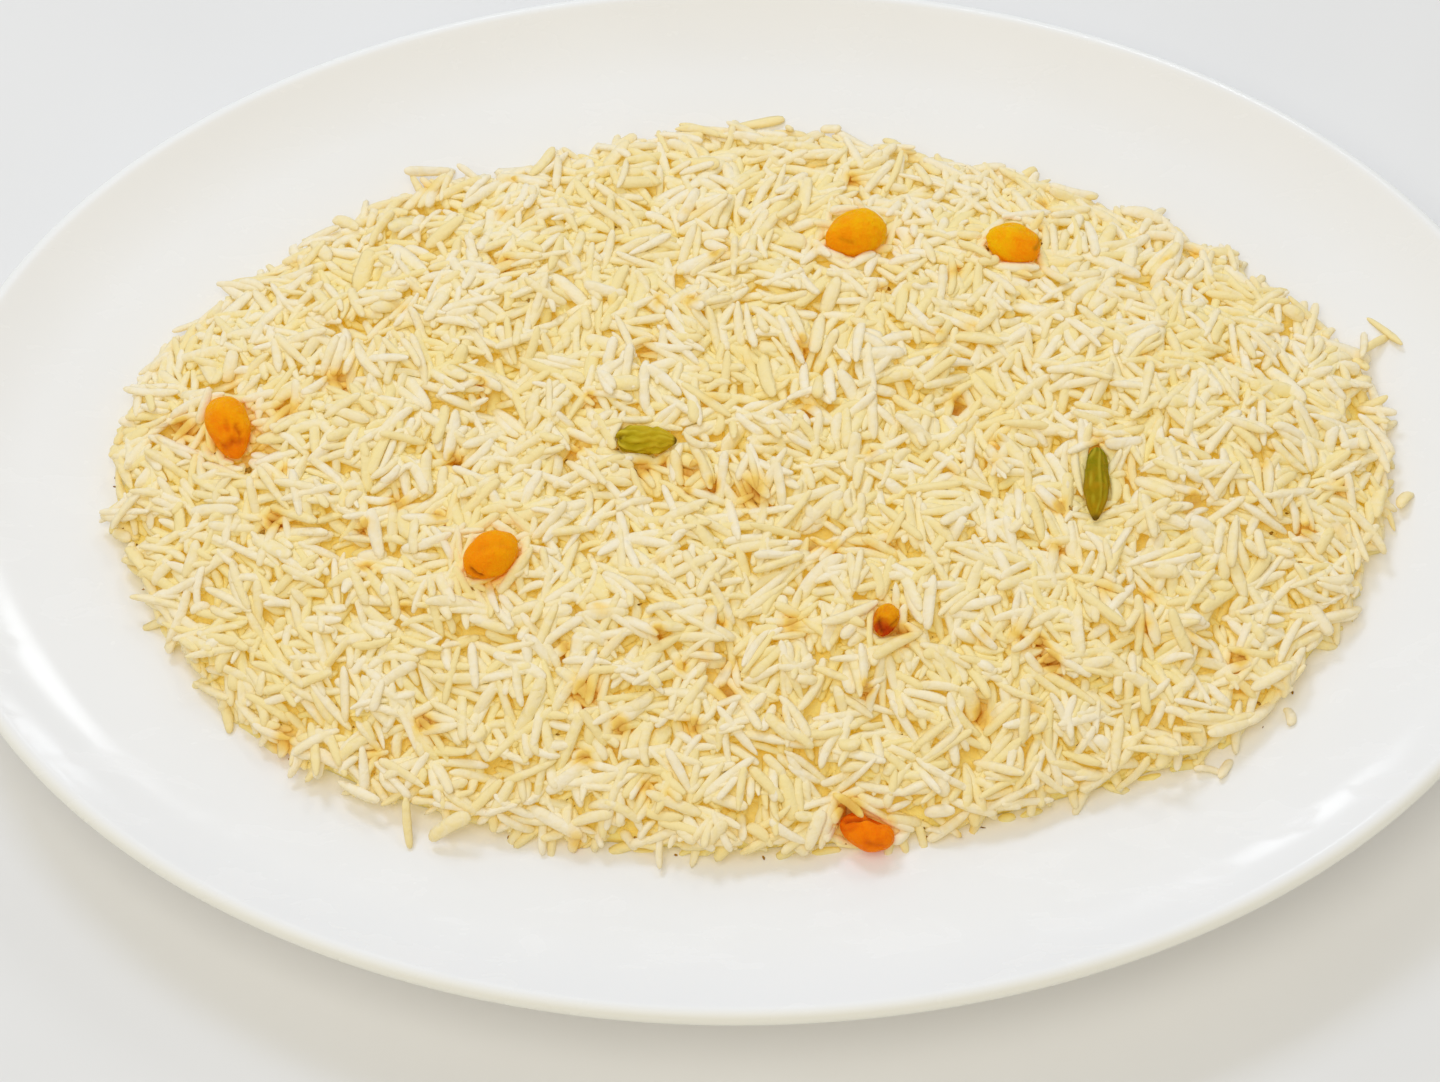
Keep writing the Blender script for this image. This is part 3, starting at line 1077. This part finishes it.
def grain_skins(grains, rings, sides):
    """Points of every grain's skin, and how far down its side each lies, from 0 to 1. Grains are
    blunt, slightly bent, uneven, and different at both ends."""
    count = len(grains)
    x, y, height, bearing, slope, length, width = grains.T
    thick = GRAIN_FLATNESS * np.minimum(width, GRAIN_WIDTH * FLAT_FROM) / width
    along = boxy(-np.cos(np.linspace(0, math.pi, rings + 2)[1:-1]))
    turn = np.linspace(0, 2 * math.pi, sides, endpoint=False) + math.pi / sides
    blunt = chance.uniform(*BLUNTNESS, (2, count))
    fall = chance.uniform(*END_FALL, (2, count))
    end = (along > 0).astype(int)
    girth = (1 - np.abs(along)[None, :] ** blunt[end].T) ** fall[end].T
    girth = girth * (1 + TAPER * chance.normal(0, 1, (count, 1)) * along)
    girth = girth * (1 + UNEVENNESS * chance.normal(0, 1, (count, rings)))
    bow = along**2 - 0.4
    bend = chance.normal(0, BEND, count)[:, None] * bow
    sag = chance.normal(*SAG, count)[:, None] * bow
    round_half = girth[:, :, None] * width[:, None, None] / 2
    round_half = round_half * (1 + UNEVENNESS * chance.normal(0, 1, (count, 1, sides)))
    side = round_half * boxy(np.cos(turn))
    rise = round_half * boxy(np.sin(turn)) * thick[:, None, None]
    roll = chance.normal(0, ROLL, count)[:, None, None]
    rolled_side = side * np.cos(roll) - rise * np.sin(roll) + bend[:, :, None]
    rolled_rise = side * np.sin(roll) + rise * np.cos(roll) + sag[:, :, None]
    run = np.broadcast_to(length[:, None, None] / 2 * along[None, :, None], side.shape)
    poles = np.stack([
        np.stack([-length / 2, bend[:, 0], sag[:, 0]], axis=-1),
        np.stack([length / 2, bend[:, -1], sag[:, -1]], axis=-1),
    ], axis=1)
    skin = np.stack([run, rolled_side, rolled_rise], axis=-1).reshape(count, -1, 3)
    local = np.concatenate([poles[:, :1], skin, poles[:, 1:]], axis=1)
    steep = 1 / np.sqrt(1 + slope**2)
    forward = np.stack([np.cos(bearing) * steep, np.sin(bearing) * steep, slope * steep], axis=-1)
    across = np.stack([-np.sin(bearing), np.cos(bearing), 0 * bearing], axis=-1)
    upward = np.cross(forward, across)
    frames = np.stack([forward, across, upward], axis=1)
    skins = local @ frames + np.stack([x, y, height], axis=-1)[:, None, :]
    underside = 0.5 - 0.5 * rolled_rise / (thick * width / 2)[:, None, None]
    ends = np.full((count, 1), 0.5)
    return skins, np.hstack([ends, underside.reshape(count, -1), ends])


def smoothed(heights, reach):
    """Mean of the kept heights over a square round each cell, taken twice."""
    half = int(reach / CELL)
    width = 2 * half + 1
    for axis in (0, 1, 0, 1):
        margin = [(half + 1, half) if axis == k else (0, 0) for k in (0, 1)]
        total = np.pad(heights, margin, mode="edge").cumsum(axis)
        size = heights.shape[axis]
        ahead = total.take(range(width, width + size), axis)
        heights = (ahead - total.take(range(size), axis)) / width
    return heights


def boiled_rice_material():
    """Cream and slightly clear. Grains differ a little, and those below are more golden. A stain
    turns them amber first, and brown only where it is strong."""
    material, tree, shader = new_material("boiled_rice", {"IOR": 1.4})
    tone, deep, stain = (point_values(tree, name) for name in ("tone", "deep", "stain"))
    golden = calculate(tree, "MULTIPLY", deep, 2.0, clamp=True)
    browned = calculate(tree, "MULTIPLY_ADD", deep, 2.0, -1.0, clamp=True)
    amber = calculate(tree, "MULTIPLY", stain, 2.6, clamp=True)
    brown = calculate(tree, "MULTIPLY_ADD", stain, 2.2, -0.7, clamp=True)
    chalk, dimples = blotches(tree, 600.0, 0.3, 0.7)
    uneven = calculate(tree, "MULTIPLY_ADD", chalk, 0.45, tone, clamp=True)
    grain = mix_colours(tree, uneven, (0.945, 0.825, 0.57), (0.925, 0.72, 0.28))
    grain = mix_colours(tree, golden, grain, (0.95, 0.775, 0.23))
    grain = mix_colours(tree, browned, grain, (0.95, 0.71, 0.14))
    grain = mix_colours(tree, amber, grain, (0.93, 0.58, 0.08))
    grain = mix_colours(tree, brown, grain, (0.60, 0.21, 0.010))
    tree.links.new(grain, shader.inputs["Base Color"])
    gloss = calculate(tree, "MULTIPLY_ADD", chalk, 0.15, 0.42)
    tree.links.new(gloss, shader.inputs["Roughness"])
    add_bump(tree, shader, dimples, 0.35 * MM)
    return material


def many_skins(count, rings, sides):
    """Triangles of closed skins that are alike and whose points follow each other."""
    starts = (rings * sides + 2) * np.arange(count)[:, None, None]
    return (ring_triangles(rings, sides) + starts).reshape(-1, 3)


LOCAL_REACH = 2.0  # mm round a place that count as the surface there
SHADE_FROM = -0.35  # depth below that surface where the golden colour begins
SHADE_RUN = 4.4  # and how much deeper it is full
UNDER_SHADE = 0.2  # more of it on a grain's underside
UNDER_FROM = 0.4
EDGE_PALE = 9.0  # mm inside the heap's outline, within which the rice has stayed paler
EDGE_SHADE = 0.4
STAIN_ON_TOP = 0.6  # share of a stain that shows on the uppermost rice
TONE = (0.35, 0.35)  # its mean and its spread
PATCH_TONE = 0.15


def add_loose_grains():
    grains = lay_grains()
    material = boiled_rice_material()
    surface = smoothed(ground, LOCAL_REACH)
    patches = PATCH_TONE * humps(PATCH_SIZE)[cells(grains[:, 0], grains[:, 1])]
    tone = np.clip(chance.normal(*TONE, len(grains)) + patches, 0, 1)
    shares = np.array_split(np.arange(len(grains)), len(HELPINGS))
    corners = np.array([tuple(corner.co / MM) for corner in packed_rice.data.vertices])
    add_point_values(packed_rice, "stain", juice[cells(corners[:, 0], corners[:, 1])])
    for helping, (chosen, (rings, sides)) in enumerate(zip(shares, HELPINGS)):
        skins, underside = grain_skins(grains[chosen], rings, sides)
        points = skins.reshape(-1, 3)
        faces = many_skins(len(chosen), rings, sides)
        piece = make_piece(f"loose_rice_{helping + 1}", points, faces, [material])
        at = cells(points[:, 0], points[:, 1])
        depth = surface[at] - points[:, 2]
        well_in = np.clip(inside_heap(points[:, 0], points[:, 1]) / EDGE_PALE, 0, 1)
        shade = np.clip((depth - SHADE_FROM) / SHADE_RUN, 0, 1)
        shade = shade * (EDGE_SHADE + (1 - EDGE_SHADE) * well_in)
        shade = shade + UNDER_SHADE * np.clip(underside.ravel() - UNDER_FROM, 0, 1)
        shade = np.clip(shade, 0, 1)
        add_point_values(piece, "deep", shade)
        add_point_values(piece, "tone", np.repeat(tone[chosen], skins.shape[1]))
        add_point_values(piece, "stain", juice[at] * (STAIN_ON_TOP + (1 - STAIN_ON_TOP) * shade))
        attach(piece, "root")
        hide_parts("rice")


add_loose_grains()


# ----------------------------------------
# The spice crumbs: bits of cardamom seed, husk and cooked-in juice, dark brown, in the hollows of
# the rice and round the pods. Each is a small uneven lump or splinter.
# Crumbs seen one by one: place, length in mm.
CRUMBS = (
    (46.8, 48.0, 1.4), (-91.9, -0.2, 1.4), (30.4, -36.6, 1.6), (29.3, -38.6, 1.2),
    (60.4, -9.7, 1.6), (60.3, -12.3, 1.4), (69.4, -13.3, 1.2), (-20.5, -1.8, 1.5),
    (-19.6, -3.0, 1.6), (-10.4, -2.2, 1.4), (-24.6, 2.7, 1.2), (-50.0, -28.4, 1.1),
    (-57.8, -53.5, 1.2), (-44.3, -19.2, 1.2), (-89.4, -12.5, 1.2), (-54.0, -0.4, 1.0),
)
CRUMB_COUNT = 240
CRUMB_SIZES = (0.4, 1.1)
CRUMB_SLIMNESS = (0.3, 0.75)
CRUMB_FLATNESS = 0.7
CRUMB_UNEVENNESS = 0.14
CRUMB_LIFT = 0.2  # of its middle over the rice, as a share of its width
CRUMB_PIT = 0.9  # least depth below the surface round it for a crumb to lie in a hollow
CRUMB_ROLL = 4  # cells
CRUMB_RINGS = 5
CRUMB_SIDES = 7


def crumb_material():
    """Dry seed coat: dark brown with redder patches."""
    plain = {"Roughness": 0.7, "Specular IOR Level": 0.1}
    material, tree, shader = new_material("spice_crumb", plain)
    red, rough = blotches(tree, 900.0, 0.35, 0.65)
    tint = mix_colours(tree, red, (0.16, 0.06, 0.005), (0.40, 0.18, 0.015))
    tree.links.new(tint, shader.inputs["Base Color"])
    add_bump(tree, shader, rough, 0.15 * MM)
    return material


def lowest_near(x, y):
    """Where a crumb that is dropped here rolls to."""
    row, column = cells(x, y)
    rows = slice(row - CRUMB_ROLL, row + CRUMB_ROLL + 1)
    columns = slice(column - CRUMB_ROLL, column + CRUMB_ROLL + 1)
    lowest = ground[rows, columns].argmin()
    return plan_x[rows, columns].flat[lowest], plan_y[rows, columns].flat[lowest]


def add_crumbs():
    pitted = smoothed(ground, LOCAL_REACH) - ground > CRUMB_PIT
    pits = np.flatnonzero(pitted & (inside_plan > 1) & np.isinf(roof))
    picked = pits[chance.integers(0, len(pits), CRUMB_COUNT)]
    seen = np.array(CRUMBS)
    x = np.concatenate([seen[:, 0], plan_x.ravel()[picked]])
    y = np.concatenate([seen[:, 1], plan_y.ravel()[picked]])
    size = np.concatenate([seen[:, 2], chance.uniform(*CRUMB_SIZES, CRUMB_COUNT)])
    ball = round_body(CRUMB_RINGS, CRUMB_SIDES)
    bodies = []
    for near_x, near_y, length in zip(x, y, size):
        at_x, at_y = lowest_near(near_x, near_y)
        slim = chance.uniform(*CRUMB_SLIMNESS)
        uneven = 1 + chance.normal(0, CRUMB_UNEVENNESS, (len(ball), 1))
        shape = ball * uneven * np.array((1, slim, slim * CRUMB_FLATNESS)) * length / 2
        middle = float(ground[cells(at_x, at_y)]) + CRUMB_LIFT * slim * length
        bodies.append(set_down(shape, (at_x, at_y), chance.uniform(0, 360), middle))
    faces = many_skins(len(bodies), CRUMB_RINGS, CRUMB_SIDES)
    crumbs = make_piece("spice_crumbs", np.vstack(bodies), faces, [crumb_material()])
    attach(crumbs, "root")
    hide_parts("rice")


add_crumbs()
